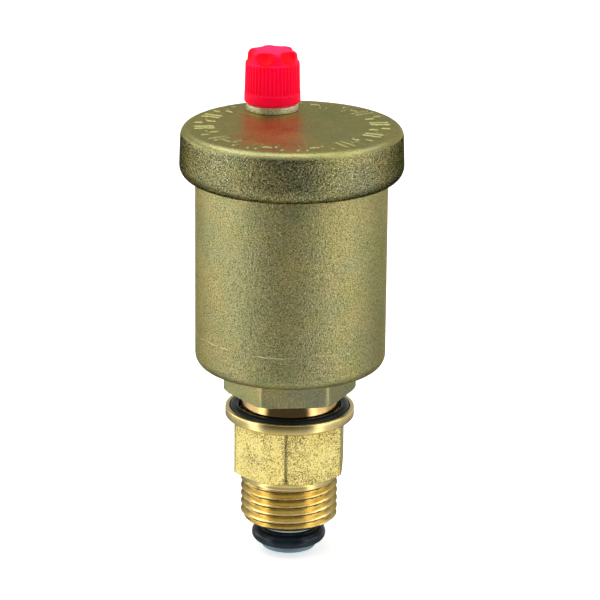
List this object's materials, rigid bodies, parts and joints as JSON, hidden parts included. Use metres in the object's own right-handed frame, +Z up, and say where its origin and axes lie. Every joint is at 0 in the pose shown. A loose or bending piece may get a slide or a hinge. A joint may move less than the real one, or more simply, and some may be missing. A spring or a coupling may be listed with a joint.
{
  "type": "automatic air vent",
  "caption": "Float-operated automatic air vent with a screwed cover, an off-centre outlet cap and a spring-loaded check valve with a male pipe thread.",
  "frame": {"origin": "on the vertical axis at the shoulder above the inlet thread", "axes": "+Z up the axis, from the inlet thread to the outlet cap; -Y to the front, 5 degrees off the normal of the casing hexagon's front flat; the outlet lies at the back"},
  "size_m": [0.0472, 0.0472, 0.1079],
  "materials": {
    "blasted_brass": "sand-blasted forging",
    "turned_brass": "bright turned",
    "hex_brass": "bright drawn bar, turned",
    "red_plastic": "satin moulding",
    "grey_plastic": "plain moulding",
    "white_plastic": "plain moulding",
    "black_rubber": "smooth",
    "spring_steel": "bright wire and sheet"
  },
  "bodies": {
    "shutoff_valve": {"check_valve_body": "hex_brass", "neck_o_ring": "black_rubber", "check_spring": "spring_steel"},
    "check": {"check_plunger": "grey_plastic", "plunger_o_ring": "black_rubber", "spring_retainer": "grey_plastic"},
    "vent": {"vent_body": "blasted_brass"},
    "cover_ring": {"cover_o_ring": "black_rubber"},
    "lid": {"cover": "blasted_brass", "vent_nozzle": "turned_brass", "valve_seat": "turned_brass", "lever_bracket": "spring_steel", "pivot_pin": "spring_steel"},
    "cap_ring": {"cap_seal": "black_rubber"},
    "cap": {"vent_cap": "red_plastic"},
    "float": {"float_shell": "white_plastic", "float_base": "white_plastic", "float_pin": "spring_steel"},
    "lever": {"float_lever": "spring_steel"},
    "stem": {"valve_stem": "turned_brass", "stem_seal": "black_rubber", "valve_spring": "spring_steel"}
  },
  "joints": [
    {"name": "check_slide", "type": "slide", "parent": "shutoff_valve", "child": "check", "axis": [0, 0, 1], "range_m": [-0.00268, 0.00268], "deforming": ["check_spring"]},
    {"name": "vent_turn", "type": "hinge", "parent": "check", "child": "vent", "pos_m": [0, 0, 0], "axis": [0, 0, 1], "range_deg": [-720, 720]},
    {"name": "cover_lift", "type": "slide", "parent": "vent", "child": "cover_ring", "axis": [0, 0, 1], "range_m": [0, 0.0056]},
    {"name": "cover_turn", "type": "hinge", "parent": "cover_ring", "child": "lid", "pos_m": [0, 0, 0], "axis": [0, 0, 1], "range_deg": [0, 990]},
    {"name": "cap_lift", "type": "slide", "parent": "lid", "child": "cap_ring", "axis": [0, 0, 1], "range_m": [0, 0.00499]},
    {"name": "cap_turn", "type": "hinge", "parent": "cap_ring", "child": "cap", "pos_m": [-0.00433, 0.01415, 0], "axis": [0, 0, 1], "range_deg": [0, 1440]},
    {"name": "float_rise", "type": "slide", "parent": "lid", "child": "float", "axis": [0, 0, 1], "range_m": [0, 0.0045]},
    {"name": "lever_swing", "type": "hinge", "parent": "lid", "child": "lever", "pos_m": [-0.00427, 0.01396, 0.0638], "axis": [-0.9563, -0.2924, 0], "range_deg": [0, 17.9]},
    {"name": "stem_lift", "type": "slide", "parent": "lid", "child": "stem", "axis": [0, 0, 1], "range_m": [0, 0.00125]}
  ],
  "couplings": [
    {"joint": "check_slide", "follows": "vent_turn", "m_per_rad": 0.00021279},
    {"joint": "cover_lift", "follows": "cover_turn", "m_per_rad": 0.00031831},
    {"joint": "cap_turn", "follows": "cap_lift", "rad_per_m": 5026.5},
    {"joint": "lever_swing", "follows": "float_rise", "rad_per_m": 68.772},
    {"joint": "stem_lift", "follows": "float_rise", "ratio": 0.27397}
  ]
}
